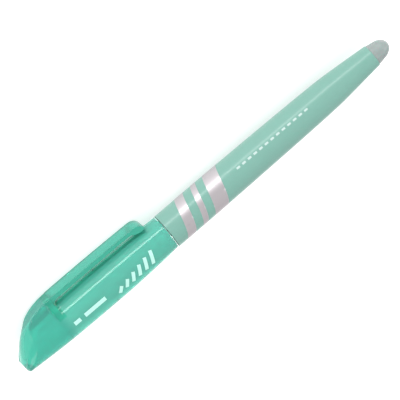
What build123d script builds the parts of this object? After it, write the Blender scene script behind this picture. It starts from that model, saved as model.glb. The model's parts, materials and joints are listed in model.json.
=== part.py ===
from build123d import *
from math import cos, radians, sin
import os

# A capped highlighter with an eraser on its tail, lying level on its cap's lip and on the edge
# of its clip. Units are millimetres. The pen's axis runs along +X, from the cap's closed end to
# the eraser. Profiles are drawn on the side plane: x is the station, which is the distance from
# the cap's front face, and y is the distance from the pen's axis towards the clip.

# --- The whole pen --------------------------------------------------------------------------
OVERALL_LENGTH = 138.0
CLIP_ROLL = 24.5                # degrees that the clip hangs below level when the pen lies down
AXIS_Y = -1.575                 # puts the object's box evenly about Y
LIP_RADIUS = 6.28               # the cap's widest round, which rests on the table
RUNNING_GAP = 0.05              # radial clearance of the fits that slide or turn
FREE_GAP = 0.35                 # between the cap's lip and the barrel's front face

# --- Cap ------------------------------------------------------------------------------------
LIP_STATION = 55.25
CAP_NOSE_RADIUS = 5.2           # just behind the rounded front corner
CAP_WAIST_STATION = 18.5        # where the nose's curve meets the straight taper
CAP_WAIST_RADIUS = 6.03
FRONT_CORNER = 1.0
NOSE_FOOT = -1.9                # height at which the slanting nose leaves the front face
CLIP_TOP = 9.3                  # the clip's outer face
CLIP_WIDTH = 5.3
CLIP_UNDERSIDE = 7.95
CLIP_ROOT = 17.5                # station where the free arm begins
CLIP_TIP = 51.1
CLIP_EDGE = 0.45                # rounding along the clip's edges
GUSSET_FRONT = 15.6             # the web that stiffens the clip's root, down each side of the round
GUSSET_FOOT = (4.7, 3.7)        # half width and height of its foot
GUSSET_HEAD = (2.65, 8.4)
CAP_BORE_LIP = 5.3
CAP_BORE_FRONT = 5.15
SEAT_RADIUS = 4.9               # bore that holds the inner cap
SEAT_FRONT = 15.8
SEAT_BACK = 32.0
CHAMBER_RADIUS = 3.9            # the empty chamber in the nose
CHAMBER_FRONT = 3.2

# --- Inner cap ------------------------------------------------------------------------------
SEAL_FLANGE_END = 18.3
SEAL_CUP_RADIUS = 4.6
SEAL_MOUTH = 30.0
SEAL_FLOOR = 17.2
SEAL_LAND_RADIUS = 3.8          # the land on the front section that the cup slides over

# --- Nib and front section ------------------------------------------------------------------
NIB_TIP = 18.9
NIB_RADIUS = 1.95
NIB_BACK = 46.0
NIB_EDGE = 0.7                  # thickness of the chisel's writing edge
NIB_EDGE_FOOT = 0.6             # how far the writing edge stands off the pen's axis
SECTION_FRONT = 22.3
GRIP_FRONT = 31.0
GRIP_RADIUS = 4.85
COLLAR_FRONT = 48.5
COLLAR_RADIUS = CAP_BORE_LIP - RUNNING_GAP
SPIGOT_RADIUS = 4.6
SPIGOT_BACK = 68.0

# --- Barrel and ink -------------------------------------------------------------------------
BARREL_FRONT = LIP_STATION + FREE_GAP
BARREL_RADIUS = 5.5
BARREL_SEAT_BACK = 69.6         # the barrel is a true cylinder up to here
BARREL_BACK = 132.4
BARREL_TAIL_RADIUS = 3.48
CORE_RADIUS = 3.5
CORE_FRONT = 42.0
CORE_BACK = 116.0
FILM_THICKNESS = 0.12
STEM_RADIUS = 1.7               # the eraser's stem in the barrel's tail
STEM_FRONT = 127.0
SOCKET_FRONT = 126.8

clip_direction = Vector(0, cos(radians(CLIP_ROLL)), -sin(radians(CLIP_ROLL)))
side = Plane(
    origin=(-OVERALL_LENGTH / 2, AXIS_Y, LIP_RADIUS),
    x_dir=(1, 0, 0),
    z_dir=Vector(1, 0, 0).cross(clip_direction),
)
pen_axis = Axis(side.origin, (1, 0, 0))

# The nose's outline in the side plane: a slanting front that bends over into the clip's top.
NOSE_CURVE = [(0, NOSE_FOOT), (3.2, 3.9), (8.0, CLIP_TOP), (CLIP_ROOT, CLIP_TOP)]
# The same slant inside, which leaves the nose a thick hood over the empty chamber.
CHAMBER_SLANT = [(3.6, -2.8), (8.2, 3.0), (9.6, CHAMBER_RADIUS)]

os.makedirs("parts", exist_ok=True)

# --- Hood: the solid ridge of the cap that the clip grows out of ------------------------------
with BuildPart() as hood:
    with BuildSketch(side):
        with BuildLine():
            Bezier(*NOSE_CURVE)
            Line((CLIP_ROOT, CLIP_TOP), (CLIP_ROOT, 4.6))
            Line((CLIP_ROOT, 4.6), (CHAMBER_FRONT, NOSE_FOOT))
            Line((CHAMBER_FRONT, NOSE_FOOT), (0, NOSE_FOOT))
        make_face()
    extrude(amount=CLIP_WIDTH / 2, both=True)
    nose_edges = hood.edges().filter_by(GeomType.BEZIER)
    fillet(nose_edges, radius=CLIP_EDGE)

# --- Cap shell -------------------------------------------------------------------------------
with BuildPart() as cap_shell:
    # The round body, with a rounded front corner and a long straight taper.
    with BuildSketch(side):
        with BuildLine():
            Line((0, 0), (0, CAP_NOSE_RADIUS - FRONT_CORNER))
            TangentArc(
                (0, CAP_NOSE_RADIUS - FRONT_CORNER),
                (FRONT_CORNER, CAP_NOSE_RADIUS),
                tangent=(0, 1),
            )
            ThreePointArc(
                (FRONT_CORNER, CAP_NOSE_RADIUS),
                (9.0, 5.67),
                (CAP_WAIST_STATION, CAP_WAIST_RADIUS),
            )
            Line((CAP_WAIST_STATION, CAP_WAIST_RADIUS), (LIP_STATION, LIP_RADIUS))
            Line((LIP_STATION, LIP_RADIUS), (LIP_STATION, 0))
            Line((LIP_STATION, 0), (0, 0))
        make_face()
    revolve(axis=pen_axis)
    # The slanting nose, cut across the full width.
    with BuildSketch(side):
        with BuildLine():
            Bezier(*NOSE_CURVE)
            Line((CLIP_ROOT, CLIP_TOP), (CLIP_ROOT, CLIP_TOP + 3))
            Line((CLIP_ROOT, CLIP_TOP + 3), (-3, CLIP_TOP + 3))
            Line((-3, CLIP_TOP + 3), (-3, NOSE_FOOT))
            Line((-3, NOSE_FOOT), (0, NOSE_FOOT))
        make_face()
    extrude(amount=10, both=True, mode=Mode.SUBTRACT)
    add(hood.part)
    gusset_plane = Plane(
        origin=side.origin + Vector(GUSSET_FRONT, 0, 0),
        x_dir=side.z_dir * -1,
        z_dir=(1, 0, 0),
    )
    with BuildSketch(gusset_plane):
        with BuildLine():
            Polyline(
                (-GUSSET_FOOT[0], GUSSET_FOOT[1]),
                (-GUSSET_HEAD[0], GUSSET_HEAD[1]),
                GUSSET_HEAD,
                GUSSET_FOOT,
                close=True,
            )
        make_face()
    extrude(amount=CLIP_ROOT - GUSSET_FRONT)
    # The bore for the pen, and the seat that holds the inner cap.
    with BuildSketch(side):
        with BuildLine():
            Polyline(
                (SEAT_FRONT, 0),
                (SEAT_FRONT, SEAT_RADIUS),
                (SEAT_BACK, SEAT_RADIUS),
                (SEAT_BACK + 0.6, CAP_BORE_FRONT),
                (COLLAR_FRONT - 1, CAP_BORE_FRONT),
                (COLLAR_FRONT, CAP_BORE_LIP),
                (LIP_STATION, CAP_BORE_LIP),
                (LIP_STATION, 0),
                close=True,
            )
        make_face()
    revolve(axis=pen_axis, mode=Mode.SUBTRACT)
    # The empty chamber in the nose: a round pocket cut off by the inner slant.
    with BuildSketch(side):
        with BuildLine():
            Polyline(
                (CHAMBER_FRONT, -CHAMBER_RADIUS),
                *CHAMBER_SLANT,
                (SEAT_FRONT, CHAMBER_RADIUS),
                (SEAT_FRONT, -CHAMBER_RADIUS),
                close=True,
            )
        make_face()
    chamber_slab = extrude(amount=CHAMBER_RADIUS, both=True, mode=Mode.PRIVATE)
    with BuildSketch(side):
        with BuildLine():
            Polyline(
                (CHAMBER_FRONT, 0),
                (CHAMBER_FRONT, CHAMBER_RADIUS),
                (SEAT_FRONT, CHAMBER_RADIUS),
                (SEAT_FRONT, 0),
                close=True,
            )
        make_face()
    chamber_round = revolve(axis=pen_axis, mode=Mode.PRIVATE)
    add(chamber_slab & chamber_round, mode=Mode.SUBTRACT)

cap_shell.part.label = "cap_shell"
export_step(cap_shell.part, "parts/cap_shell.step")

# --- Clip: the free arm, with a rounded tip and a bump that grips the pocket's cloth ----------
with BuildPart() as clip:
    with BuildSketch(side):
        with BuildLine():
            top = ThreePointArc((CLIP_ROOT, CLIP_TOP), (33.5, CLIP_TOP - 0.04), (48.2, CLIP_TOP - 0.36))
            TangentArc(top @ 1, (CLIP_TIP, 6.95), tangent=top % 1)
            Line((CLIP_TIP, 6.95), (CLIP_TIP - 0.4, 6.62))
            ThreePointArc((CLIP_TIP - 0.4, 6.62), (48.7, 6.72), (46.7, 7.7))
            Line((46.7, 7.7), (42.0, CLIP_UNDERSIDE - 0.05))
            Line((42.0, CLIP_UNDERSIDE - 0.05), (CLIP_ROOT + 2.4, CLIP_UNDERSIDE))
            ThreePointArc(
                (CLIP_ROOT + 2.4, CLIP_UNDERSIDE),
                (CLIP_ROOT + 0.9, CLIP_UNDERSIDE - 0.22),
                (CLIP_ROOT, CLIP_UNDERSIDE - 0.85),
            )
            Line((CLIP_ROOT, CLIP_UNDERSIDE - 0.85), (CLIP_ROOT, CLIP_TOP))
        make_face()
    extrude(amount=CLIP_WIDTH / 2, both=True)
    top_edges = clip.edges().filter_by(
        lambda edge: edge.geom_type == GeomType.CIRCLE and side.to_local_coords(edge.center()).Y > 8.1
    )
    fillet(top_edges, radius=CLIP_EDGE)

clip.part.label = "clip"
export_step(clip.part, "parts/clip.step")

# --- Inner cap: the seal cup, held in the cap by its closed end ------------------------------
with BuildPart() as inner_cap:
    with BuildSketch(side):
        with BuildLine():
            Polyline(
                (SEAT_FRONT + RUNNING_GAP, 0),
                (SEAT_FRONT + RUNNING_GAP, SEAT_RADIUS - RUNNING_GAP),
                (SEAL_FLANGE_END, SEAT_RADIUS - RUNNING_GAP),
                (SEAL_FLANGE_END, SEAL_CUP_RADIUS),
                (SEAL_MOUTH, SEAL_CUP_RADIUS),
                (SEAL_MOUTH, SEAL_LAND_RADIUS + 0.35),
                (SEAL_MOUTH - 0.6, SEAL_LAND_RADIUS + RUNNING_GAP),
                (SEAL_FLOOR + 1.0, SEAL_LAND_RADIUS + RUNNING_GAP),
                (SEAL_FLOOR, SEAL_LAND_RADIUS - 0.8),
                (SEAL_FLOOR, 0),
                close=True,
            )
        make_face()
    revolve(axis=pen_axis)

inner_cap.part.label = "inner_cap"
export_step(inner_cap.part, "parts/inner_cap.step")

# --- Front section: nose cone, seal land, grip, collar and the spigot pressed in the barrel ----
with BuildPart() as front_section:
    with BuildSketch(side):
        with BuildLine():
            Polyline(
                (SECTION_FRONT, NIB_RADIUS),
                (SECTION_FRONT, 2.6),
                (25.6, SEAL_LAND_RADIUS - 0.3),
                (26.0, SEAL_LAND_RADIUS),
                (GRIP_FRONT - 0.4, SEAL_LAND_RADIUS),
                (GRIP_FRONT - 0.4, GRIP_RADIUS - 0.4),
                (GRIP_FRONT + 0.2, GRIP_RADIUS),
            )
            ThreePointArc(
                (GRIP_FRONT + 0.2, GRIP_RADIUS),
                (39.5, GRIP_RADIUS - 0.12),
                (COLLAR_FRONT - 0.6, GRIP_RADIUS + 0.05),
            )
            Polyline(
                (COLLAR_FRONT - 0.6, GRIP_RADIUS + 0.05),
                (COLLAR_FRONT + 0.4, COLLAR_RADIUS),
                (BARREL_FRONT, COLLAR_RADIUS),
                (BARREL_FRONT, SPIGOT_RADIUS),
                (SPIGOT_BACK - 0.8, SPIGOT_RADIUS),
                (SPIGOT_BACK, SPIGOT_RADIUS - 0.4),
                (SPIGOT_BACK, CORE_RADIUS + FILM_THICKNESS),
                (CORE_FRONT, CORE_RADIUS + FILM_THICKNESS),
                (CORE_FRONT, NIB_RADIUS),
                (SECTION_FRONT, NIB_RADIUS),
            )
        make_face()
    revolve(axis=pen_axis)

front_section.part.label = "front_section"
export_step(front_section.part, "parts/front_section.step")

# --- Nib: a felt rod with its front cut to a slanting chisel ----------------------------------
with BuildPart() as nib:
    with BuildSketch(side):
        with BuildLine():
            Polyline(
                (NIB_TIP, 0),
                (NIB_TIP, NIB_RADIUS - 0.15),
                (NIB_TIP + 0.3, NIB_RADIUS),
                (NIB_BACK, NIB_RADIUS),
                (NIB_BACK, 0),
                close=True,
            )
        make_face()
    revolve(axis=pen_axis)
    # Two slanting flats leave a narrow writing edge, high on the clip's side.
    with BuildSketch(side):
        with BuildLine():
            Polyline(
                (NIB_TIP - 1, -3),
                (NIB_TIP - 1, NIB_EDGE_FOOT),
                (NIB_TIP, NIB_EDGE_FOOT),
                (SECTION_FRONT, -3),
                close=True,
            )
        make_face()
        with BuildLine():
            Polyline(
                (NIB_TIP - 1, 3),
                (NIB_TIP - 1, NIB_EDGE_FOOT + NIB_EDGE),
                (NIB_TIP, NIB_EDGE_FOOT + NIB_EDGE),
                (NIB_TIP + 1.1, 3),
                close=True,
            )
        make_face()
    extrude(amount=3, both=True, mode=Mode.SUBTRACT)

nib.part.label = "nib"
export_step(nib.part, "parts/nib.step")

# --- Ink reservoir: a fibre bundle with a blind hole for the nib's back ------------------------
with BuildPart() as reservoir_core:
    with BuildSketch(side):
        with BuildLine():
            Polyline(
                (CORE_FRONT, NIB_RADIUS),
                (CORE_FRONT, CORE_RADIUS),
                (CORE_BACK, CORE_RADIUS),
                (CORE_BACK, 0),
                (NIB_BACK, 0),
                (NIB_BACK, NIB_RADIUS),
                close=True,
            )
        make_face()
    revolve(axis=pen_axis)

reservoir_core.part.label = "reservoir_core"
export_step(reservoir_core.part, "parts/reservoir_core.step")

# --- Reservoir wrap: the thin film round the bundle ---------------------------------------------
with BuildPart() as reservoir_film:
    with BuildSketch(side):
        with BuildLine():
            Polyline(
                (CORE_FRONT, CORE_RADIUS),
                (CORE_FRONT, CORE_RADIUS + FILM_THICKNESS),
                (CORE_BACK, CORE_RADIUS + FILM_THICKNESS),
                (CORE_BACK, CORE_RADIUS),
                close=True,
            )
        make_face()
    revolve(axis=pen_axis)

reservoir_film.part.label = "reservoir_film"
export_step(reservoir_film.part, "parts/reservoir_film.step")

# --- Barrel: open at the front, with a closed tail and a socket for the eraser's stem -----------
with BuildPart() as barrel:
    with BuildSketch(side):
        with BuildLine():
            Polyline(
                (BARREL_BACK, STEM_RADIUS),
                (SOCKET_FRONT, STEM_RADIUS),
                (SOCKET_FRONT, 0),
                (SOCKET_FRONT - 1.3, 0),
                (SOCKET_FRONT - 1.3, 2.4),
                (CORE_BACK + 2.5, CORE_RADIUS - 0.3),
                (CORE_BACK + 0.1, CORE_RADIUS - 0.3),
                (CORE_BACK + 0.1, CORE_RADIUS + FILM_THICKNESS),
                (CORE_BACK - 6, CORE_RADIUS + FILM_THICKNESS),
                (SPIGOT_BACK + 1, SPIGOT_RADIUS - 0.35),
                (SPIGOT_BACK + 0.4, SPIGOT_RADIUS),
                (BARREL_FRONT, SPIGOT_RADIUS),
                (BARREL_FRONT, BARREL_RADIUS - 0.2),
                (BARREL_FRONT + 0.2, BARREL_RADIUS),
                (BARREL_SEAT_BACK, BARREL_RADIUS),
            )
            Spline(
                (BARREL_SEAT_BACK, BARREL_RADIUS),
                (92.0, 5.27),
                (112.0, 4.95),
                (121.4, 4.42),
                (BARREL_BACK - 0.4, BARREL_TAIL_RADIUS),
                tangents=[(1, 0), (1, -0.06)],
            )
            ThreePointArc(
                (BARREL_BACK - 0.4, BARREL_TAIL_RADIUS),
                (BARREL_BACK - 0.1, BARREL_TAIL_RADIUS - 0.15),
                (BARREL_BACK, BARREL_TAIL_RADIUS - 0.45),
            )
            Line((BARREL_BACK, BARREL_TAIL_RADIUS - 0.45), (BARREL_BACK, STEM_RADIUS))
        make_face()
    revolve(axis=pen_axis)

barrel.part.label = "barrel"
export_step(barrel.part, "parts/barrel.step")

# --- Eraser: a dome on a stem that is pressed into the tail -------------------------------------
with BuildPart() as eraser:
    with BuildSketch(side):
        with BuildLine():
            Polyline(
                (OVERALL_LENGTH, 0),
                (STEM_FRONT, 0),
                (STEM_FRONT, STEM_RADIUS - 0.4),
                (STEM_FRONT + 0.4, STEM_RADIUS),
                (BARREL_BACK, STEM_RADIUS),
                (BARREL_BACK, 3.27),
            )
            Spline(
                (BARREL_BACK, 3.27),
                (134.2, 2.95),
                (136.0, 2.6),
                (137.4, 1.62),
                (OVERALL_LENGTH, 0),
                tangents=[(1, -0.12), (0, -1)],
            )
        make_face()
    revolve(axis=pen_axis)

eraser.part.label = "eraser"
export_step(eraser.part, "parts/eraser.step")
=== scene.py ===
"""Looks of a capped highlighter with an eraser on its tail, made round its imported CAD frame.

Sizes in the classes are millimetres. A station is the distance along the pen from the cap's
front face, a height is the distance from the pen's axis towards the clip, and an across is the
distance sideways from the plane that holds the axis and the clip.
"""

import json
import logging
from dataclasses import dataclass, replace
from enum import Enum
from math import cos, radians, sin, tau

import bmesh
import bpy
import numpy as np
from mathutils import Matrix, Vector

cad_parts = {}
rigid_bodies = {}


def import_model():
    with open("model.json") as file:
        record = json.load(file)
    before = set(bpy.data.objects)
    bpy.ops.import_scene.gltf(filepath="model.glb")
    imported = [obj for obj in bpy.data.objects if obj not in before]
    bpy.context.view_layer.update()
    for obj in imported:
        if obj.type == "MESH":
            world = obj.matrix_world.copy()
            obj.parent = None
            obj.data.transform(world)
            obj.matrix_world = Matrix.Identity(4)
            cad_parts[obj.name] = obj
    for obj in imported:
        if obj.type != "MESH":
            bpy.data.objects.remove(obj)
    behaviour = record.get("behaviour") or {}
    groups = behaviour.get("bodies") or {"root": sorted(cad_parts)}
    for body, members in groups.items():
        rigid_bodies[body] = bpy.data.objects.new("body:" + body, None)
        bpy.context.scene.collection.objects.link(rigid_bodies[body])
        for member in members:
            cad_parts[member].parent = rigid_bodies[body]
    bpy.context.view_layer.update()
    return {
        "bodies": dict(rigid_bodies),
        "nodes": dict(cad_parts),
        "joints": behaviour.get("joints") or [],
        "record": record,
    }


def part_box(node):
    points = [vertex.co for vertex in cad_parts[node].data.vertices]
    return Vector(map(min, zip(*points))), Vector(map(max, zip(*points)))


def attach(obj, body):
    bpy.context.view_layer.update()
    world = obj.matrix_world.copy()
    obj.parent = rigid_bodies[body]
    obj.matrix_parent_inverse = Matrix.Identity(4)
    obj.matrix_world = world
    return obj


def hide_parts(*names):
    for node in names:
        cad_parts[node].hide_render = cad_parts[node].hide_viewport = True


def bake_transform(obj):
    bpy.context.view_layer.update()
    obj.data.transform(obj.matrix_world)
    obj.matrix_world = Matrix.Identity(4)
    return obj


MM = 0.001
FAR = 9.0  # a distance in millimetres that no point of a section comes near
WELD = 1e-7  # metres within which vertices are one
LOG = logging.getLogger("highlighter")

Array = np.ndarray
Material = bpy.types.Material
Node = bpy.types.Node
Piece = bpy.types.Object
Tree = bpy.types.NodeTree

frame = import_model()


# --- The pen's own frame ---


@dataclass(frozen=True)
class PenFrame:
    """Where the pen lies in the row's frame: its front, its axis and the way its clip points."""

    front: float
    axis_y: float
    axis_z: float
    clip: Vector
    side: Vector

    @classmethod
    def from_packed(cls, packed: dict) -> "PenFrame":
        """Reads the pen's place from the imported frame.


        Returns:
            The pen's frame, in metres.
        """
        low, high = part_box("barrel")
        cap_low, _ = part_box("cap_shell")
        flex = next(joint for joint in packed["joints"] if joint["name"] == "clip_flex")
        side = Vector(flex["axis"])
        clip = side.cross(Vector((1, 0, 0)))
        middle = (Vector(low) + Vector(high)) / 2
        return cls(cap_low[0], middle.y, middle.z, clip, side)

    def points(self, station: Array, height: Array, across: Array) -> Array:
        """Row-frame points in metres of arrays of stations, heights and acrosses in millimetres."""
        made = np.zeros(np.shape(station) + (3,))
        made[..., 0] = self.front + np.asarray(station) * MM
        made[..., 1] = self.axis_y + (height * self.clip.y + across * self.side.y) * MM
        made[..., 2] = self.axis_z + (height * self.clip.z + across * self.side.z) * MM
        return made

    def point(self, station: float, height: float = 0.0, across: float = 0.0) -> Vector:
        """One row-frame point in metres."""
        return Vector(self.points(np.array(station), np.array(height), np.array(across)))


PEN = PenFrame.from_packed(frame)


# --- Mesh helpers ---


def close_mesh(shell: bmesh.types.BMesh, mesh: bpy.types.Mesh, sharp: float) -> None:
    """Turns the normals outwards, writes the mesh back and shades it, with its hard edges kept."""
    bmesh.ops.recalc_face_normals(shell, faces=shell.faces)
    shell.to_mesh(mesh)
    shell.free()
    mesh.shade_smooth()
    mesh.set_sharp_from_angle(angle=radians(sharp))


def new_object(name: str, points: Array, faces: list, sharp: float = 32.0) -> Piece:
    """Makes a smooth-shaded mesh object with its normals outwards and its hard edges kept.

    Args:
        name: the piece's name.
        points: the vertices, in metres.
        faces: tuples of vertex indices.
        sharp: the least angle in degrees between faces that stays a hard edge.

    Returns:
        The object, linked to the scene, at the origin.
    """
    mesh = bpy.data.meshes.new(name)
    mesh.from_pydata([tuple(p) for p in points], [], faces)
    shell = bmesh.new()
    shell.from_mesh(mesh)
    bmesh.ops.remove_doubles(shell, verts=shell.verts, dist=WELD)
    close_mesh(shell, mesh, sharp)
    piece = bpy.data.objects.new(name, mesh)
    bpy.context.scene.collection.objects.link(piece)
    return piece


def loop_faces(rows: int, columns: int) -> list:
    """Quads between neighbouring closed loops of vertices that are stored row by row."""
    made = []
    for row in range(rows - 1):
        for column in range(columns):
            after = (column + 1) % columns
            low, high = row * columns, (row + 1) * columns
            made.append((low + column, low + after, high + after, high + column))
    return made


def rounded(corners: list, steps: int = 5) -> Array:
    """Rounds the corners of an open outline.

    Args:
        corners: (station, radius, rounding) of each corner, in millimetres.
        steps: how many chords stand for each rounding.

    Returns:
        The (station, radius) points of the rounded outline.
    """
    spots = [np.array(corner[:2], float) for corner in corners]
    made = [spots[0]]
    for before, spot, after, corner in zip(spots, spots[1:], spots[2:], corners[1:-1]):
        rounding = corner[2] if len(corner) > 2 else 0.0
        if rounding <= 0:
            made.append(spot)
            continue
        back, ahead = before - spot, after - spot
        reach = min(rounding, 0.49 * np.linalg.norm(back), 0.49 * np.linalg.norm(ahead))
        start = spot + back / np.linalg.norm(back) * reach
        end = spot + ahead / np.linalg.norm(ahead) * reach
        for t in np.linspace(0, 1, steps + 1):
            made.append((1 - t) ** 2 * start + 2 * t * (1 - t) * spot + t * t * end)
    made.append(spots[-1])
    return np.array(made)


def smooth_through(points: list, steps: int = 12) -> list:
    """Points of a smooth curve through the given ones, with steps chords between each two."""
    spots = [np.array(p, float) for p in points]
    spots = [2 * spots[0] - spots[1], *spots, 2 * spots[-1] - spots[-2]]
    made = []
    for a, b, c, d in zip(spots, spots[1:], spots[2:], spots[3:]):
        for t in np.linspace(0, 1, steps, endpoint=False):
            curve = 2 * b + (c - a) * t + (2 * a - 5 * b + 4 * c - d) * t**2
            made.append(tuple((curve + (3 * b - a - 3 * c + d) * t**3) / 2))
    made.append(tuple(spots[-2]))
    return made


def turned(name: str, outline: Array, segments: int = 96) -> Piece:
    """A solid turned about the pen's axis.

    Args:
        name: the piece's name.
        outline: (station, radius) points; the first and last lie on the axis, or are the same.
        segments: how many sides the round has.

    Returns:
        The object.
    """
    angles = np.arange(segments) * tau / segments
    station = np.repeat(outline[:, :1], segments, axis=1)
    height = outline[:, 1:] * np.cos(angles)
    across = outline[:, 1:] * np.sin(angles)
    points = PEN.points(station, height, across).reshape(-1, 3)
    return new_object(name, points, loop_faces(len(outline), segments))


def smooth_min(a: Array, b: Array, width: float) -> Array:
    """The lesser of two distances, with a fillet of about that width where they cross."""
    near = np.maximum(width - np.abs(a - b), 0) / width
    return np.minimum(a, b) - near * near * width / 4


def smooth_max(a: Array, b: Array, width: float) -> Array:
    """The greater of two distances, with a rounding of about that width where they cross."""
    return -smooth_min(-a, -b, width)


def plain_copy(piece: Piece) -> None:
    """Applies a piece's modifiers to its mesh and removes them."""
    evaluated = piece.evaluated_get(bpy.context.evaluated_depsgraph_get())
    mesh = bpy.data.meshes.new_from_object(evaluated)
    piece.modifiers.clear()
    piece.data = mesh


def assign(piece: Piece, material: Material) -> None:
    """Gives a whole piece one material."""
    piece.data.materials.clear()
    piece.data.materials.append(material)
    piece.data.polygons.foreach_set("material_index", [0] * len(piece.data.polygons))


def set_inputs(node: Node, values: dict) -> None:
    """Sets a node's inputs, given by name or number, to values or links them to output sockets."""
    for key, value in values.items():
        if isinstance(value, bpy.types.NodeSocket):
            node.id_data.links.new(value, node.inputs[key])
        else:
            node.inputs[key].default_value = value


def add_node(tree: Tree, kind: str, inputs: dict | None = None, **settings: object) -> Node:
    """Adds a node to a tree and sets its properties and its inputs."""
    node = tree.nodes.new(kind)
    for key, value in settings.items():
        setattr(node, key, value)
    set_inputs(node, inputs or {})
    return node


# --- Finishes ---


class Grain(Enum):
    """How fine the texture of a moulded or woven surface is: features per metre."""

    POLISH = 260.0
    SPARK = 2600.0
    FELT = 5200.0


@dataclass(frozen=True)
class Finish:
    """What every finish has: a colour, a roughness and a little relief."""

    name: str
    colour: tuple
    roughness: float = 0.3
    ior: float = 1.5
    grain: Grain = Grain.POLISH
    stretch: tuple = (1, 1, 1)
    detail: float = 3.0
    relief: float = 0.02
    relief_depth: float = 0.1
    shade_change: float = 0.03

    def start(self) -> tuple:
        """Starts the material; gives it, its node tree and its Principled shader."""
        material = bpy.data.materials.new(self.name)
        material.use_nodes = True
        tree = material.node_tree
        shader = next(node for node in tree.nodes if node.type == "BSDF_PRINCIPLED")
        colour = (*self.colour, 1)
        set_inputs(shader, {"Base Color": colour, "Roughness": self.roughness, "IOR": self.ior})
        return material, tree, shader

    def vary(self, tree: Tree, shader: Node) -> None:
        """Lets a noise in object coordinates change the colour and the relief a little."""
        place = add_node(tree, "ShaderNodeTexCoord").outputs["Object"]
        spread = {"Vector": place, "Scale": self.stretch}
        mapped = add_node(tree, "ShaderNodeMapping", spread).outputs["Vector"]
        grain = {"Vector": mapped, "Scale": self.grain.value, "Detail": self.detail}
        noise = add_node(tree, "ShaderNodeTexNoise", grain).outputs["Fac"]
        darker = [channel * (1 - self.shade_change) for channel in self.colour]
        lighter = [min(1.0, channel * (1 + self.shade_change)) for channel in self.colour]
        shades = {"Fac": noise, "Color1": (*darker, 1), "Color2": (*lighter, 1)}
        mix = add_node(tree, "ShaderNodeMixRGB", shades, blend_type="MIX")
        relief = {"Height": noise, "Strength": self.relief, "Distance": self.relief_depth * MM}
        bump = add_node(tree, "ShaderNodeBump", relief)
        set_inputs(shader, {"Base Color": mix.outputs["Color"], "Normal": bump.outputs["Normal"]})

    def complete(self, tree: Tree, shader: Node) -> None:
        """Adds what only this kind of finish has."""

    def material(self) -> Material:
        """The finished material."""
        material, tree, shader = self.start()
        self.vary(tree, shader)
        self.complete(tree, shader)
        return material


@dataclass(frozen=True)
class ClearPlastic(Finish):
    """Clear tinted plastic, whose colour deepens with the thickness that the light goes through.

    Its nose and the web at the clip's root can get painted shade, a darker base colour set by
    position, eased in at their borders.
    """

    tint: tuple = (0.5, 0.9, 0.8)
    density: float = 400.0
    clearness: float = 1.0
    # painted shade: base colour multiplier ahead of the nose station
    painted_nose_shade: tuple = (1.0, 1.0, 1.0)
    nose_station: float = 17.0
    nose_ease: float = 1.5
    # painted shade: base colour multiplier on the web at the clip's root
    painted_web_shade: tuple = (0.34, 0.90, 0.80)
    web_station: float = 16.9
    web_half: float = 1.3
    web_ease: float = 0.25
    web_foot: float = 2.9
    foot_ease: float = 0.3

    def eased(self, tree: Tree, value: object, low: float, high: float) -> object:
        """A factor that eases from 0 to 1 while the value goes from low to high."""
        ends = {"Value": value, "From Min": low, "From Max": high}
        node = add_node(tree, "ShaderNodeMapRange", ends, interpolation_type="SMOOTHSTEP")
        return node.outputs[0]

    def paint_shade(self, tree: Tree, shader: Node, factor: object, shade: tuple) -> None:
        """Paints shade: multiplies the base colour by a darker colour where the factor is 1."""
        base = shader.inputs["Base Color"].links[0].from_socket
        shades = {"Fac": factor, "Color1": base, "Color2": (*shade, 1)}
        mix = add_node(tree, "ShaderNodeMixRGB", shades, blend_type="MULTIPLY")
        set_inputs(shader, {"Base Color": mix.outputs["Color"]})

    def paint_nose_and_web_shade(self, tree: Tree, shader: Node) -> None:
        """Paints shade on the thick nose and on the web at the clip's root by darkening their base
        colour.
        """
        place = add_node(tree, "ShaderNodeTexCoord").outputs["Object"]
        along = add_node(tree, "ShaderNodeSeparateXYZ", {0: place}).outputs["X"]
        start, ease = PEN.front + self.nose_station * MM, self.nose_ease * MM
        # painted shade on the nose, ahead of the nose station
        nose = self.eased(tree, along, start + ease, start - ease)
        self.paint_shade(tree, shader, nose, self.painted_nose_shade)
        # painted shade on the web at the clip's root, beside the clip and above its foot
        upward = (PEN.point(0, 1) - PEN.point(0)).normalized()
        ways = {0: place, 1: upward}
        height = add_node(tree, "ShaderNodeVectorMath", ways, operation="DOT_PRODUCT")
        foot, ease = upward.dot(PEN.point(0)) + self.web_foot * MM, self.foot_ease * MM
        raised = self.eased(tree, height.outputs["Value"], foot - ease, foot + ease)
        places = {0: along, 1: PEN.front + self.web_station * MM}
        offset = add_node(tree, "ShaderNodeMath", places, operation="SUBTRACT").outputs[0]
        size = add_node(tree, "ShaderNodeMath", {0: offset}, operation="ABSOLUTE").outputs[0]
        half, ease = self.web_half * MM, self.web_ease * MM
        near = self.eased(tree, size, half + ease, half - ease)
        shares = {0: raised, 1: near}
        both = add_node(tree, "ShaderNodeMath", shares, operation="MULTIPLY").outputs[0]
        self.paint_shade(tree, shader, both, self.painted_web_shade)

    def complete(self, tree: Tree, shader: Node) -> None:
        """Adds the painted shade of the nose and the web, the clearness and the tint's depth."""
        if min(self.painted_nose_shade) < 1:
            self.paint_nose_and_web_shade(tree, shader)
        set_inputs(shader, {"Transmission Weight": self.clearness})
        tint = {"Color": (*self.tint, 1), "Density": self.density}
        depth = add_node(tree, "ShaderNodeVolumeAbsorption", tint).outputs["Volume"]
        output = next(node for node in tree.nodes if node.type == "OUTPUT_MATERIAL")
        set_inputs(output, {"Volume": depth})


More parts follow.
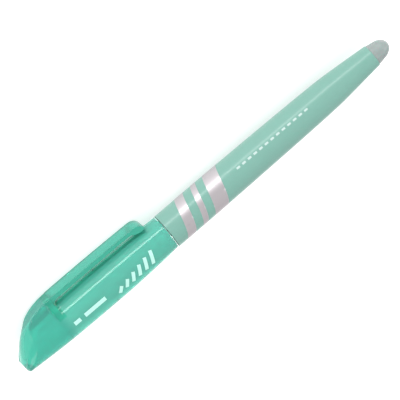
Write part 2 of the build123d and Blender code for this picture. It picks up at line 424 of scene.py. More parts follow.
@dataclass(frozen=True)
class SoftPlastic(Finish):
    """Opaque or milky plastic or rubber that light enters a little way."""

    depth: float = 0.0
    reach: tuple = (0.4, 1.0, 0.8)
    reach_scale: float = 1.0
    coat: float = 0.0
    coat_roughness: float = 0.06

    def complete(self, tree: Tree, shader: Node) -> None:
        """Adds the depth that light reaches and the gloss coat."""
        depth = {"Subsurface Weight": self.depth, "Subsurface Radius": self.reach}
        set_inputs(shader, {**depth, "Subsurface Scale": self.reach_scale * MM})
        set_inputs(shader, {"Coat Weight": self.coat, "Coat Roughness": self.coat_roughness})


@dataclass(frozen=True)
class HotFoil(Finish):
    """Bright metal foil stamped on plastic, faintly brushed round the pen."""

    stretch: tuple = (6, 1, 1)

    def complete(self, tree: Tree, shader: Node) -> None:
        """Makes it metal."""
        set_inputs(shader, {"Metallic": 1.0})


@dataclass(frozen=True)
class Fibre(Finish):
    """Pressed or bundled fibre, drawn out along the pen."""

    stretch: tuple = (0.12, 1, 1)
    sheen: float = 0.3

    def complete(self, tree: Tree, shader: Node) -> None:
        """Adds the soft sheen of loose ends."""
        set_inputs(shader, {"Sheen Weight": self.sheen})


@dataclass(frozen=True)
class LightTable(Finish):
    """White acrylic that is lit from below, so that a thing on it has hardly any shadow."""

    glow: float = 0.62

    def material(self) -> Material:
        """The finished material, which has no grain."""
        material, _, shader = self.start()
        set_inputs(shader, {"Emission Color": (1, 1, 1, 1), "Emission Strength": self.glow})
        set_inputs(shader, {"Specular IOR Level": 0.0})
        return material


LIGHT_TABLE = LightTable("light_table", (0.6, 0.6, 0.6), 0.9)
CAP_CLEAR = ClearPlastic(
    "cap_clear",
    (0.20, 0.81, 0.67),
    roughness=0.045,
    relief=0.01,
    shade_change=0.01,
    tint=(0.07, 0.91, 0.83),
    density=430.0,
    clearness=0.64,
    # painted shade: the nose's base colour is darkened by these factors
    painted_nose_shade=(0.50, 0.85, 0.85),
)
# Painted shade: the clip is the cap's own plastic, given a darker base colour and a little less
# clearness.
CLIP_SHADED_CLEAR = replace(
    CAP_CLEAR,
    name="clip_painted_shade",
    colour=(0.088, 0.60, 0.47),
    clearness=0.62,
    painted_nose_shade=(1.0, 1.0, 1.0),
)
FILM_CLEAR = ClearPlastic(
    "film_clear", (0.95, 0.97, 0.96), 0.1, tint=(0.9, 0.95, 0.93), density=60.0
)
MATT = SoftPlastic("seal_pale", (0.62, 0.71, 0.68), 0.4, grain=Grain.SPARK)
SEAL_PALE = replace(MATT, depth=0.2)
SECTION_PALE = replace(SEAL_PALE, name="section_pale", colour=(0.46, 0.55, 0.52))
BARREL_GREEN = SoftPlastic("barrel_green", (0.176, 0.372, 0.313), 0.28, depth=0.1, coat=0.12)
FOIL_SILVER = HotFoil("foil_silver", (0.55, 0.515, 0.535), 0.42, grain=Grain.SPARK, relief=0.03)
INK_SILVER = replace(MATT, name="ink_silver", colour=(0.48, 0.62, 0.59), roughness=0.35)
PRINT_PALE = replace(MATT, name="print_pale", colour=(0.46, 0.80, 0.71))
ERASER_GREY = replace(
    MATT, name="eraser_grey", colour=(0.295, 0.342, 0.334), roughness=0.42, depth=0.8
)
FELT = Fibre("nib_felt", (0.22, 0.72, 0.50), 0.85, grain=Grain.FELT, relief=0.5, shade_change=0.12)
INK_FIBRE = replace(
    FELT, name="ink_fibre", colour=(0.24, 0.70, 0.50), roughness=0.8, shade_change=0.1
)


# --- Cap: round body with a slanting nose, and a ridge that the clip grows out of ---


@dataclass(frozen=True)
class CapBody:
    """The cap's moulding up to the clip's root, lofted as one closed skin, outside and inside."""

    length: float = 55.25
    corner: float = 1.0
    nose_grade: float = 0.0588
    nose_bow: float = 0.0012
    waist_blend: float = 0.12
    lip_edge: float = 0.16
    nose_radius: float = 5.2
    waist_station: float = 18.5
    waist_radius: float = 6.03
    lip_radius: float = 6.28
    nose_foot: float = -1.9
    ridge_top: float = 9.3
    ridge_half: float = 2.65
    root: float = 17.5
    root_underside: float = 7.1
    saddle: float = 1.3
    edge: float = 0.5
    fillet: float = 0.7
    nose_fillet: float = 2.2
    nose_arch: float = 0.11
    nose_edge: float = 2.0
    arch_to: float = 4.0
    flat_from: float = 9.5
    gusset_front: float = 15.2
    gusset_foot: tuple = (4.7, 3.7)
    gusset_head: tuple = (2.65, 8.3)
    lip_bore: float = 5.3
    front_bore: float = 5.15
    seat_bore: float = 4.9
    seat_front: float = 15.8
    chamber_radius: float = 3.9
    chamber_front: float = 3.2
    counts: tuple = (60, 16, 12)

    def outer_radius(self, station: float) -> float:
        """Radius of the round body at a station."""
        taper = (self.lip_radius - self.waist_radius) / (self.length - self.waist_station)
        straight = self.waist_radius + taper * (station - self.waist_station)
        bow = self.nose_bow * (station - 1) * (station - 9)
        bowed = self.nose_radius + self.nose_grade * (station - 1) - bow
        radius = float(smooth_min(np.array(straight), np.array(bowed), self.waist_blend))
        if station < self.corner:
            radius -= self.corner - (self.corner**2 - (self.corner - station) ** 2) ** 0.5
        lip = self.lip_edge
        if station > self.length - lip:
            radius -= lip - (lip**2 - (station - self.length + lip) ** 2) ** 0.5
        return radius

    def nose(self) -> tuple:
        """Stations and heights along the nose's curve, from its foot to the clip's root."""
        t = np.linspace(0, 1, 200)
        corners = (3.2, 3.9), (8.0, self.ridge_top), (self.root, self.ridge_top)
        ends = np.array([(0, self.nose_foot), *corners])
        weights = np.stack([(1 - t) ** 3, 3 * t * (1 - t) ** 2, 3 * t * t * (1 - t), t**3], axis=1)
        curve = weights @ ends
        return curve[:, 0], curve[:, 1]

    def half_outline(self, radius: float, ceiling: float, half: float) -> Array:
        """First guess of a section's right half, from the bottom to the top.

        Args:
            radius: the round's radius.
            ceiling: the height that the section is cut at, or that its ridge rises to.
            half: half the ridge's width.

        Returns:
            (height, across) points, as many as counts adds up to.
        """
        foot = (radius**2 - half**2) ** 0.5
        step = 0.6 / radius
        if ceiling < foot:
            joint = np.arccos(np.clip(-ceiling / radius, -1, 1))
            corner = (ceiling, radius * sin(joint))
        else:
            joint = np.arccos(-foot / radius)
            corner = (max(ceiling, foot), half)
        lead = joint - step
        arc = np.linspace(0, lead, self.counts[0], endpoint=False)
        made = [(-radius * cos(a), radius * sin(a)) for a in arc]
        for t in np.linspace(0, 1, self.counts[1], endpoint=False):
            if t < 0.4:
                angle = lead + step * t / 0.4
                made.append((-radius * cos(angle), radius * sin(angle)))
            else:
                share = (t - 0.4) / 0.6
                low = -radius * cos(joint)
                made.append((low + (corner[0] - low) * share, corner[1]))
        for t in np.linspace(0, 1, self.counts[2]):
            across = corner[1] * (1 - t)
            round_height = (radius**2 - across**2) ** 0.5
            height = corner[0] if ceiling < foot else max(corner[0], round_height)
            made.append((height, across))
        return np.array(made)

    def settle(self, outline: Array, distance: object) -> Array:
        """Moves an outline's points on to the curve where a distance is nought."""
        spots = outline.copy()
        nudge = 1e-4
        for _ in range(8):
            here = distance(spots[:, 0], spots[:, 1])
            up = (distance(spots[:, 0] + nudge, spots[:, 1]) - here) / nudge
            out = (distance(spots[:, 0], spots[:, 1] + nudge) - here) / nudge
            steep = np.maximum(up * up + out * out, 0.2)
            move = np.clip(here / steep, -0.3, 0.3)
            spots[:, 0] -= move * up
            spots[:, 1] -= move * out
        spots[:, 1] = np.maximum(spots[:, 1], 0)
        spots[0, 1] = spots[-1, 1] = 0
        return spots

    def loop(self, station: float, half: Array) -> Array:
        """A whole section as row-frame points, from its right half."""
        whole = np.concatenate([half, half[-2:0:-1] * (1, -1)])
        return PEN.points(np.full(len(whole), station), whole[:, 0], whole[:, 1])

    def outer_section(self, station: float, rise: float, slope: float, cut: bool) -> Array:
        """One section of the outside.

        Args:
            station: where it is.
            rise: the height of the nose or ridge there.
            slope: the cosine of the nose's slant there.
            cut: True where the nose cuts the whole width, False behind the ridge.

        Returns:
            The section's loop of row-frame points.
        """
        radius = self.outer_radius(station)
        front = 1 - np.clip((station - self.arch_to) / (self.flat_from - self.arch_to), 0, 1)
        front = front * front * (3 - 2 * front)
        arch, edge = self.nose_arch * front, self.edge + (self.nose_edge - self.edge) * front
        fillet = self.nose_fillet if cut else self.fillet

        def distance(height: Array, across: Array) -> Array:
            """Distance outside the section."""
            body = np.hypot(height, across) - radius
            slot = np.where(height > 0, np.abs(across) - self.ridge_half, FAR)
            if cut:
                whole = smooth_min(body, slot, fillet)
                if station > self.gusset_front:
                    whole = smooth_min(whole, self.gusset(height, across, station), 0.5)
                return smooth_max(whole, (height + arch * across**2 - rise) * slope, edge)
            ridge = smooth_max(slot, height - rise, 0.1)
            return smooth_min(body, ridge, fillet) if rise > radius - 0.4 else body

        foot = (radius**2 - self.ridge_half**2) ** 0.5
        guess = self.half_outline(radius, rise if cut else max(rise, foot), self.ridge_half)
        return self.loop(station, self.settle(guess, distance))

    def gusset(self, height: Array, across: Array, station: float) -> Array:
        """Distance outside the web that runs down each side of the clip's root."""
        foot, head = np.array(self.gusset_foot), np.array(self.gusset_head)
        way = (head - foot) / np.linalg.norm(head - foot)
        flank = (np.abs(across) - foot[0]) * way[1] - (height - foot[1]) * way[0]
        grown = np.clip((station - self.gusset_front) / 0.5, 0, 1) - 1
        return smooth_max(flank - grown * 0.9, foot[1] - height, 0.4)

    def outer_loops(self) -> list:
        """The outside's sections from the front face to the lip."""
        along, rise = self.nose()
        front = self.corner * (1 - np.cos(np.linspace(0, np.pi / 2, 9)))
        stations = [*front, *np.arange(1.15, self.root, 0.2), self.root]
        made = []
        for station in stations:
            step = 0.05
            high = np.interp(station, along, rise)
            grade = (np.interp(station + step, along, rise) - high) / step
            made.append(self.outer_section(station, high, 1 / (1 + grade * grade) ** 0.5, True))
        for t in np.linspace(0, 1, 8):
            station = self.root + self.saddle * (1 - cos(t * np.pi / 2))
            drop = self.root_underside - 5.6
            rise_here = self.root_underside - drop * sin(t * np.pi / 2)
            made.append(self.outer_section(station, rise_here, 1.0, False))
        rest = [*np.arange(self.root + self.saddle + 0.8, self.length - 0.6, 1.2)]
        rest += [self.length - 0.35 * (1 - t) for t in (0, 0.35, 0.65, 0.85, 0.96, 1.0)]
        return made + [self.outer_section(station, 0.0, 1.0, False) for station in rest]

    def inner_loops(self) -> list:
        """The inside's sections from the lip to the front of the chamber."""
        corners = [
            (self.length, self.lip_bore + 0.3), (self.length - 0.3, self.lip_bore, 0.2),
            (48.5, self.lip_bore, 0.3), (47.5, self.front_bore, 0.3), (32.6, self.front_bore, 0.3),
            (32.0, self.seat_bore, 0.3), (self.seat_front, self.seat_bore, 0.15),
            (self.seat_front, self.chamber_radius, 0.15),
            (self.seat_front - 0.4, self.chamber_radius),
        ]
        outline = rounded(corners)
        made = [self.inner_section(station, radius) for station, radius in outline]
        for station in np.arange(self.seat_front - 0.8, self.chamber_front + 0.5, -0.4):
            made.append(self.inner_section(station, self.chamber_radius))
        for t in np.linspace(0, 1, 4):
            station = self.chamber_front + 0.4 * (1 - t)
            made.append(self.inner_section(station, self.chamber_radius - 0.3 * t * t))
        return made

    def inner_section(self, station: float, radius: float) -> Array:
        """One section of the inside, cut off by the chamber's slant near the front."""
        ceiling = np.interp(station, (3.2, 3.6, 8.2, 9.6, 9.9), (-3.1, -2.8, 3.0, 3.75, 9.0))

        def distance(height: Array, across: Array) -> Array:
            """Distance outside the section."""
            return smooth_max(np.hypot(height, across) - radius, (height - ceiling) * 0.62, 0.5)

        guess = self.half_outline(radius, min(ceiling, radius * 0.98), 0.2 * radius)
        return self.loop(station, self.settle(guess, distance))

    def build(self) -> Piece:
        """Makes and dresses the cap's body.

        Returns:
            The piece, which stands for the CAD cap shell.
        """
        loops = self.outer_loops() + self.inner_loops()
        columns = len(loops[0])
        points = np.concatenate(loops)
        faces = loop_faces(len(loops), columns)
        ends = np.array([loops[0].mean(axis=0), loops[-1].mean(axis=0)])
        first, last = len(points), len(points) + 1
        back = (len(loops) - 1) * columns
        for column in range(columns):
            after = (column + 1) % columns
            faces.append((first, after, column))
            faces.append((last, back + column, back + after))
        piece = new_object("cap_body", np.concatenate([points, ends]), faces, 40)
        assign(piece, CAP_CLEAR.material())
        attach(piece, "cap")
        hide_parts("cap_shell")
        return piece


@dataclass(frozen=True)
class ClipArm:
    """The clip's free arm: a flat tongue with a rounded tip and a bump under it."""

    root: float = 17.52
    top: float = 9.3
    bow_start: float = -0.0074
    bow_growth: float = 0.00062
    shoulder: float = 48.2
    tip: float = 51.1
    underside: float = 7.95
    half_width: float = 2.65
    edge: float = 0.42
    flex_length: float = 6.0

    def top_height(self, station: float) -> float:
        """Height of the clip's outer face."""
        along = station - self.root
        return self.top - self.bow_start * along - self.bow_growth * along * along

    def outline(self) -> list:
        """(station, height) points round the clip's side, clockwise from the root's top."""
        made = [(s, self.top_height(s)) for s in np.linspace(self.root, self.shoulder, 40)]
        shoulder = self.top_height(self.shoulder)
        drop, run = shoulder - 6.95, self.tip - self.shoulder
        turn = (drop * drop + run * run) / (2 * drop)
        for angle in np.linspace(0, 1, 12)[1:]:
            swing = angle * np.arcsin(run / turn)
            made.append((self.shoulder + turn * sin(swing), shoulder - turn * (1 - cos(swing))))
        bump = [(0.0, 6.95), (0.4, 6.62), (1.4, 6.57), (2.4, 6.72), (3.4, 7.1), (4.4, 7.68)]
        made += smooth_through([(self.tip - back, height) for back, height in bump], 5)[1:]
        made += [(46.0, 7.85), (44.4, 7.9)]
        made += [(s, self.underside) for s in np.linspace(42.0, self.root + 2.4, 30)]
        hollow = [(1.6, 7.9), (0.9, 7.73), (0.4, 7.5), (0.0, 7.1)]
        return made + [(self.root + behind, height) for behind, height in hollow]

    def build(self) -> Piece:
        """Makes and dresses the clip.

        Returns:
            The piece.
        """
        outline = np.array(self.outline())
        count = len(outline)
        station, height = np.tile(outline.T, 2)
        across = np.repeat((-self.half_width, self.half_width), count)
        faces = [(i, (i + 1) % count, count + (i + 1) % count, count + i) for i in range(count)]
        faces += [tuple(range(count - 1, -1, -1)), tuple(range(count, 2 * count))]
        piece = new_object("clip_arm", PEN.points(station, height, across), faces)
        bevel = piece.modifiers.new("edges", "BEVEL")
        bevel.width = self.edge * MM
        bevel.segments = 4
        bevel.limit_method = "ANGLE"
        bevel.angle_limit = radians(60)
        plain_copy(piece)
        piece.data.shade_smooth()
        piece.data.set_sharp_from_angle(angle=radians(35))
        # the clip's darker base colour is painted shade
        assign(piece, CLIP_SHADED_CLEAR.material())
        PEN.point(self.root, self.top)
        PEN.point(self.root + self.flex_length, self.top)
        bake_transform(piece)
        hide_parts("clip")
        return piece


# --- Pieces inside the cap and the barrel ---


@dataclass(frozen=True)
class SealCup:
    """The inner cap that keeps the nib wet, held in the cap by its closed end."""

    front: float = 15.85
    flange_radius: float = 4.85
    flange_back: float = 18.3
    cup_radius: float = 4.6
    mouth: float = 30.0
    bore: float = 3.85
    floor: float = 17.2

    def build(self) -> Piece:
        """Makes and dresses the inner cap."""
        corners = [
            (self.front, 0), (self.front, self.flange_radius, 0.25),
            (self.flange_back, self.flange_radius, 0.25),
            (self.flange_back, self.cup_radius, 0.15), (self.mouth, self.cup_radius, 0.3),
            (self.mouth, self.bore + 0.3, 0.1), (self.mouth - 0.6, self.bore, 0.2),
            (self.floor, self.bore, 0.8), (self.floor, 0),
        ]
        piece = turned("seal_cup", rounded(corners))
        assign(piece, SEAL_PALE.material())
        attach(piece, "seal")
        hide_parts("inner_cap")
        return piece


@dataclass(frozen=True)
class FrontSection:
    """The nib holder: nose cone, seal land, grip, collar, and the spigot pressed in the barrel."""

    nib_radius: float = 1.95
    front: float = 22.3
    land: float = 3.8
    grip_front: float = 31.0
    grip: float = 4.85
    collar_front: float = 48.5
    collar: float = 5.25
    barrel_front: float = 55.6
    spigot: float = 4.6
    back: float = 68.0
    ink_bore: float = 3.62

    def build(self) -> Piece:
        """Makes and dresses the front section."""
        corners = [
            (self.front, self.nib_radius), (self.front, 2.6, 0.35), (25.6, self.land - 0.3, 0.3),
            (26.0, self.land, 0.2), (self.grip_front - 0.4, self.land, 0.15),
            (self.grip_front - 0.4, self.grip - 0.4, 0.2), (self.grip_front + 0.4, self.grip, 0.4),
            (36.0, self.grip - 0.1, 3.0), (43.0, self.grip - 0.1, 3.0),
            (self.collar_front - 0.6, self.grip + 0.05, 0.3),
            (self.collar_front + 0.4, self.collar, 0.4),
            (self.barrel_front - 0.9, self.collar, 0.2),
            (self.barrel_front - 0.7, self.collar - 0.55, 0.2),
            (self.barrel_front, self.collar - 0.55), (self.barrel_front, self.spigot, 0.05),
            (self.back - 0.8, self.spigot, 0.2), (self.back, self.spigot - 0.4, 0.2),
            (self.back, self.ink_bore, 0.1), (42.0, self.ink_bore), (42.0, self.nib_radius),
            (self.front, self.nib_radius),
        ]
        piece = turned("grip_section", rounded(corners))
        assign(piece, SECTION_PALE.material())
        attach(piece, "pen")
        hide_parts("front_section")
        return piece


@dataclass(frozen=True)
class Nib:
    """The felt nib, with its front cut to a slanting chisel."""

    tip: float = 18.9
    radius: float = 1.95
    back: float = 46.0
    edge_low: float = 0.6
    edge_high: float = 1.3

    def build(self) -> Piece:
        """Makes and dresses the nib."""
        corners = [
            (self.tip, 0), (self.tip, self.radius, 0.3), (self.back, self.radius, 0.1),
            (self.back, 0),
        ]
        piece = turned("felt_nib", rounded(corners), 64)
        shell = bmesh.new()
        shell.from_mesh(piece.data)
        low, high = (self.tip, self.edge_low), (self.tip, self.edge_high)
        flats = [(low, (22.3, -3.0)), (high, (20.0, 3.0))]
        for start, end in flats:
            here, there = PEN.point(*start), PEN.point(*end)
            normal = (there - here).cross(PEN.side).normalized()
            if normal.x > 0:
                normal = -normal
            bmesh.ops.bisect_plane(
                shell,
                geom=[*shell.verts, *shell.edges, *shell.faces],
                plane_co=here,
                plane_no=normal,
                clear_outer=True,
            )
            rim = [edge for edge in shell.edges if edge.is_boundary]
            bmesh.ops.holes_fill(shell, edges=rim)
        close_mesh(shell, piece.data, 32)
        assign(piece, FELT.material())
        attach(piece, "pen")
        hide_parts("nib")
        return piece


@dataclass(frozen=True)
class InkStore:
    """The ink's fibre bundle and its film, which keep their CAD shapes inside the barrel."""

    def build(self) -> list:
        """Dresses both nodes."""
        core, film = frame["nodes"]["reservoir_core"], frame["nodes"]["reservoir_film"]
        assign(core, INK_FIBRE.material())
        assign(film, FILM_CLEAR.material())
        return [core, film]


# --- Barrel and eraser ---


@dataclass(frozen=True)
class Barrel:
    """The long opaque barrel, straight behind the cap and tapered to its tail."""

    front: float = 55.45
    radius: float = 5.5
    seat_back: float = 69.6
    back: float = 132.4
    tail_radius: float = 3.48
    spigot: float = 4.6
    ink_bore: float = 3.62
    stem: float = 1.7

    def skin(self) -> list:
        """(station, radius) points of the outside behind the straight seat."""
        shape = [
            (self.seat_back, self.radius), (80.0, 5.41), (92.0, 5.27), (103.0, 5.11),
            (112.0, 4.93), (117.5, 4.70), (124.0, 4.17), (self.back - 0.5, self.tail_radius),
        ]
        return smooth_through(shape, 8)

    def build(self) -> Piece:
        """Makes and dresses the barrel."""
        inside = [
            (self.back, self.stem), (126.8, self.stem), (126.8, 0.02), (125.5, 0.02), (125.5, 2.4),
            (118.5, 3.2), (116.1, 3.2), (116.1, self.ink_bore), (110.0, self.ink_bore),
            (69.0, self.spigot - 0.35), (68.4, self.spigot), (self.front, self.spigot),
        ]
        edge = (self.front, self.radius, 0.15)
        rim = rounded([(self.front, self.spigot), edge, (60.0, self.radius)])
        tail = rounded(
            [self.skin()[-1], (self.back, self.tail_radius - 0.03, 0.45), (self.back, self.stem)]
        )
        outline = np.array([*inside, *rim[1:], *self.skin(), *tail[1:]])
        piece = turned("barrel_tube", outline, 128)
        assign(piece, BARREL_GREEN.material())
        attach(piece, "pen")
        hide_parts("barrel")
        return piece


@dataclass(frozen=True)
class Eraser:
    """The domed eraser, on a stem that is pressed into the tail."""

    seat: float = 132.4
    back: float = 138.0
    stem: float = 1.7
    stem_front: float = 127.0
    base: float = 3.27

    def build(self) -> Piece:
        """Makes and dresses the eraser."""
        stem = [
            (self.stem_front, 0), (self.stem_front, self.stem, 0.4), (self.seat, self.stem),
            (self.seat, self.base),
        ]
        dome = [
            (self.seat, self.base - 0.06), (self.seat + 0.35, self.base - 0.09), (134.2, 2.95),
            (135.7, 2.66), (136.8, 2.08), (137.6, 1.35), (137.93, 0.6), (self.back, 0.0),
        ]
        outline = np.array([*rounded(stem)[:-1], *smooth_through(dome, 8)])
        outline[:, 1] = np.maximum(outline[:, 1], 0)
        piece = turned("eraser_dome", outline, 96)
        assign(piece, ERASER_GREY.material())
        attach(piece, "pen")
        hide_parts("eraser")
        return piece


# --- Foil and print, wrapped round the pen ---


@dataclass(frozen=True)
class Ribbon:
    """A flat stroke: a middle line and its half width, drawn on the unrolled surface.

    A place on the unrolled surface is (station, turn): millimetres and degrees from the clip.
    """

    middle: tuple
    half_width: tuple
    columns: int = 6
    turn_weight: float = 0.1

    def grid(self) -> tuple:
        """The stroke as a strip of quads: its (station, turn) vertices and its faces."""
        columns, weight = self.columns, self.turn_weight
        line = np.array(smooth_through(list(self.middle), 12))
        share = np.linspace(0, 1, len(line))
        width = np.interp(share, np.linspace(0, 1, len(self.half_width)), self.half_width)
        way = np.gradient(line * (1, weight), axis=0)
        way /= np.linalg.norm(way, axis=1)[:, None]
        aside = np.stack([-way[:, 1], way[:, 0] / weight], axis=1)
        spread = np.linspace(-1, 1, columns + 1)
        spots = line[:, None] + aside[:, None] * (width[:, None] * spread)[..., None]
        faces = []
        for row in range(len(line) - 1):
            for column in range(columns):
                low, high = row * (columns + 1) + column, (row + 1) * (columns + 1) + column
                faces.append((low, low + 1, high + 1, high))
        return spots.reshape(-1, 2), faces


class WrapTree:
    """Geometry nodes that lay a flat pattern on a turned surface and give it a thickness.

    The flat pattern's X is the station in metres and its Y is the turn in radians.
    """

    sockets = {
        "Geometry": "Geometry",
        "Surface": "Object",
        "Axis point": "Vector",
        "Clip way": "Vector",
        "Side way": "Vector",
        "Reach": "Float",
        "Thickness": "Float",
    }
    rise = 0.25  # how much of its thickness a stroke's inner face stands off the surface
    ray_length = 8.5

    def __init__(self, name: str, material: Material) -> None:
        """Builds the tree with its named inputs."""
        self.tree = bpy.data.node_groups.new(name, "GeometryNodeTree")
        face = self.tree.interface
        for title, kind in self.sockets.items():
            face.new_socket(title, in_out="INPUT", socket_type="NodeSocket" + kind)
        face.new_socket("Geometry", in_out="OUTPUT", socket_type="NodeSocketGeometry")
        self.wire(material)

    def node(self, kind: str, inputs: dict | None = None, **settings: object) -> Node:
        """Adds a node and sets its properties and inputs."""
        return add_node(self.tree, kind, inputs, **settings)

    def scaled(self, vector: object, factor: object) -> object:
        """A vector socket times a number or a number's socket."""
        parts = {0: vector, "Scale": factor}
        return self.node("ShaderNodeVectorMath", parts, operation="SCALE").outputs[0]

    def joined(self, first: object, second: object, operation: str = "ADD") -> object:
        """Two vector sockets added, or put together by another operation."""
        parts = {0: first, 1: second}
        return self.node("ShaderNodeVectorMath", parts, operation=operation).outputs[0]

    def turn(self, angle: object, operation: str) -> object:
        """The sine or cosine of an angle socket."""
        return self.node("ShaderNodeMath", {0: angle}, operation=operation).outputs[0]

    def wire(self, material: Material) -> None:
        """Links the tree: ray to the surface, move, thicken, realize and dress."""
        given = self.node("NodeGroupInput").outputs
        place = self.node("GeometryNodeInputPosition").outputs[0]
        spot = self.node("ShaderNodeSeparateXYZ", {0: place}).outputs
        along = self.node("ShaderNodeCombineXYZ", {"X": spot["X"]}).outputs[0]
        middle = self.joined(given["Axis point"], along)
        upward = self.scaled(given["Clip way"], self.turn(spot["Y"], "COSINE"))
        sideward = self.scaled(given["Side way"], self.turn(spot["Y"], "SINE"))
        towards = self.joined(upward, sideward)
        start = self.joined(middle, self.scaled(towards, given["Reach"]))
        back = self.joined(middle, start, "SUBTRACT")
        surface = self.node("GeometryNodeObjectInfo", {"Object": given["Surface"]})
        beam = {"Target Geometry": surface.outputs["Geometry"], "Source Position": start}
        beam |= {"Ray Direction": back, "Ray Length": given["Reach"]}
        hit = self.node("GeometryNodeRaycast", beam).outputs["Hit Position"]
        lift = self.scaled(towards, given["Thickness"])
        spots = self.joined(hit, self.scaled(lift, self.rise))
        landed = {"Geometry": given["Geometry"], "Position": spots}
        laid = self.node("GeometryNodeSetPosition", landed).outputs[0]
        raised = self.node("GeometryNodeSetPosition", {"Geometry": laid, "Offset": lift}).outputs[0]
        walls = {"Mesh": raised, "Offset": self.scaled(lift, -1.0), "Offset Scale": 1.0}
        walls["Individual"] = False
        sides = self.node("GeometryNodeExtrudeMesh", walls).outputs["Mesh"]
        both = self.node("GeometryNodeJoinGeometry", {0: sides})
        set_inputs(both, {0: raised})
        welded = {"Geometry": both.outputs[0], "Distance": WELD}
        merged = self.node("GeometryNodeMergeByDistance", welded).outputs[0]
        real = self.node("GeometryNodeRealizeInstances", {"Geometry": merged}).outputs[0]
        dressed = self.node("GeometryNodeSetMaterial", {"Geometry": real, "Material": material})
        self.node("NodeGroupOutput", {0: dressed.outputs[0]})

    def lay(self, name: str, ribbons: list, surface: Piece, thickness: float) -> Piece:
        """Lays strokes on a surface.

        Args:
            name: the piece's name.
            ribbons: the strokes.
            surface: the object that they lie on.
            thickness: in millimetres.

        Returns:
            The piece as a plain mesh.
        """
        spots, faces = [], []
        for ribbon in ribbons:
            flat, quads = ribbon.grid()
            offset = sum(len(part) for part in spots)
            level = np.zeros(len(flat))
            spots.append(np.column_stack([flat[:, 0] * MM, np.radians(flat[:, 1]), level]))
            faces += [tuple(index + offset for index in quad) for quad in quads]
        piece = new_object(name, np.concatenate(spots), faces)
        modifier = piece.modifiers.new("wrap", "NODES")
        modifier.node_group = self.tree
        values = {
            "Surface": surface,
            "Axis point": (PEN.front, PEN.axis_y, PEN.axis_z),
            "Clip way": tuple(PEN.clip),
            "Side way": tuple(PEN.side),
            "Reach": self.ray_length * MM,
            "Thickness": thickness * MM,
        }
        for item in self.tree.interface.items_tree:
            if item.in_out == "INPUT" and item.name in values:
                modifier[item.identifier] = values[item.name]
        plain_copy(piece)
        shell = bmesh.new()
        shell.from_mesh(piece.data)
        close_mesh(shell, piece.data, 40)
        return piece


@dataclass(frozen=True)
class Decoration:
    """Plain silver bands on the barrel and pale strokes on the cap, with no lettering."""

    thickness: float = 0.03
    facing: float = 62.0
    reach: float = 98.0

    def band(self, station: float, lean: float, half: float) -> Ribbon:
        """A plain slanting band of one width across the side of the barrel that faces out.

        Args:
            station: where its middle is.
            lean: how much nearer the tail its far end is than its middle.
            half: half its width.

        Returns:
            The band.
        """
        shares = np.linspace(-1, 1, 9)
        turn = self.facing + 10
        line = tuple((station + lean * share, turn + self.reach * share) for share in shares)
        return Ribbon(line, (half, half))

    def foil(self, barrel: Piece) -> Piece:
        """Makes the silver bands."""
        bands = [self.band(62.0, -2.6, 1.5), self.band(67.2, -2.6, 0.9), self.band(73.2, -2.6, 2.4)]
        tree = WrapTree("foil_wrap", FOIL_SILVER.material())
        piece = tree.lay("foil_bands", bands, barrel, self.thickness)
        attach(piece, "pen")
        return piece

    def dashes(self, barrel: Piece) -> Piece:
        """Makes the row of silver dashes along the barrel."""
        start, pitch, count = 81.6, 2.1, 13
        turn = self.facing - 6
        strokes = []
        for index in range(count):
            line = tuple((start + pitch * index + along, turn) for along in (0, 0.6, 1.2))
            strokes.append(Ribbon(line, (0.3, 0.34, 0.3)))
        tree = WrapTree("dash_wrap", INK_SILVER.material())
        piece = tree.lay("foil_dashes", strokes, barrel, self.thickness)
        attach(piece, "pen")
        return piece

    def marks(self, cap: Piece) -> Piece:
        """Makes the pale strokes on the cap: two bars, and a fan of slanting strokes."""
        strokes = [Ribbon(((18.4, 92), (20.6, 92)), (0.6, 0.6))]
        strokes.append(Ribbon(((22.2, 92), (26.0, 92), (29.8, 92)), (0.6, 0.6, 0.6)))
        for index in range(6):
            start = 34.0 + 2.5 * index
            rise = 16 + 5 * index
            strokes.append(Ribbon(((start, 112), (start + 1.4, 112 - rise)), (0.55, 0.5)))
        tree = WrapTree("mark_wrap", PRINT_PALE.material())
        piece = tree.lay("cap_marks", strokes, cap, self.thickness)
        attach(piece, "cap")
        return piece


# --- Studio ---


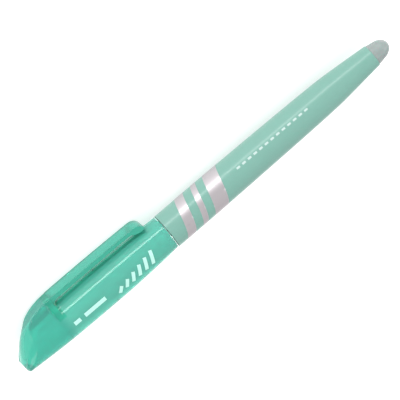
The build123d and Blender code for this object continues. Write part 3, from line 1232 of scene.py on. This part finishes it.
@dataclass(frozen=True)
class Studio:
    """Camera, pale floor and soft light."""

    roll: float = 40.58
    lift: float = 37.5
    lean: float = 4.5
    distance: float = 1.6
    lens: float = 509.2
    aim_station: float = 68.4
    aim_up: float = 0.65
    floor_half: float = 6.0
    sky: float = 0.85
    lamp_aim: float = 6.0

    def camera(self) -> None:
        """Sets the camera, which looks at the pen from its clip's side and above."""
        lift, lean, roll = radians(self.lift), radians(self.lean), radians(self.roll)
        towards = Vector((-sin(lean), cos(lean) * cos(lift), cos(lean) * sin(lift)))
        along = (Vector((1, 0, 0)) - towards * towards.x).normalized()
        above = towards.cross(along)
        right = along * cos(roll) - above * sin(roll)
        upright = along * sin(roll) + above * cos(roll)
        aim = PEN.point(self.aim_station) + above * self.aim_up * MM
        data = bpy.data.cameras.new("camera")
        data.lens = self.lens
        data.clip_start = 0.01
        eye = bpy.data.objects.new("camera", data)
        turn = Matrix((right, upright, towards)).transposed()
        eye.matrix_world = Matrix.Translation(aim + towards * self.distance) @ turn.to_4x4()
        bpy.context.scene.collection.objects.link(eye)
        bpy.context.scene.camera = eye

    def lamp(self, name: str, place: tuple, size: tuple, power: float) -> None:
        """Adds a soft rectangular lamp that faces the pen.

        Args:
            name: the lamp's name.
            place: where it stands, in metres.
            size: its width along the pen and its height, in metres.
            power: in watts.
        """
        data = bpy.data.lights.new(name, "AREA")
        data.shape = "RECTANGLE"
        data.size, data.size_y = size
        data.energy = power
        lamp = bpy.data.objects.new(name, data)
        back = (Vector(place) - Vector((0, 0, self.lamp_aim * MM))).normalized()
        along = (Vector((1, 0, 0)) - back * back.x).normalized()
        turn = Matrix((along, back.cross(along), back)).transposed()
        lamp.matrix_world = Matrix.Translation(place) @ turn.to_4x4()
        bpy.context.scene.collection.objects.link(lamp)

    def build(self) -> None:
        """Sets the whole studio."""
        scene = bpy.context.scene
        scene.view_settings.view_transform = "Standard"
        world = bpy.data.worlds.new("studio")
        world.use_nodes = True
        sky = next(node for node in world.node_tree.nodes if node.type == "BACKGROUND")
        set_inputs(sky, {"Color": (1, 1, 1, 1), "Strength": self.sky})
        scene.world = world
        half = self.floor_half
        corners = np.array([(-half, -half, 0), (half, -half, 0), (half, half, 0), (-half, half, 0)])
        floor = new_object("floor", corners, [(0, 1, 2, 3)])
        assign(floor, LIGHT_TABLE.material())
        self.lamp("front", (0.0, 0.8, 0.075), (1.4, 0.14), 3.8)
        self.lamp("left", (-0.9, 0.0, 0.7), (0.8, 0.8), 3.4)
        self.lamp("right", (0.9, 0.0, 0.7), (0.8, 0.8), 3.4)
        self.camera()


def main() -> None:
    """Builds the highlighter's looks in order and reports each piece."""
    logging.basicConfig(level=logging.INFO, format="%(message)s")
    Studio().build()
    cap = CapBody().build()
    clip = ClipArm().build()
    barrel = Barrel().build()
    pieces = [cap, clip, barrel, SealCup().build(), FrontSection().build(), Nib().build()]
    pieces += [*InkStore().build(), Eraser().build()]
    decoration = Decoration()
    pieces += [decoration.foil(barrel), decoration.dashes(barrel), decoration.marks(cap)]
    for piece in pieces:
        LOG.info("%s: %d faces", piece.name, len(piece.data.polygons))


if __name__ == "__main__":
    main()
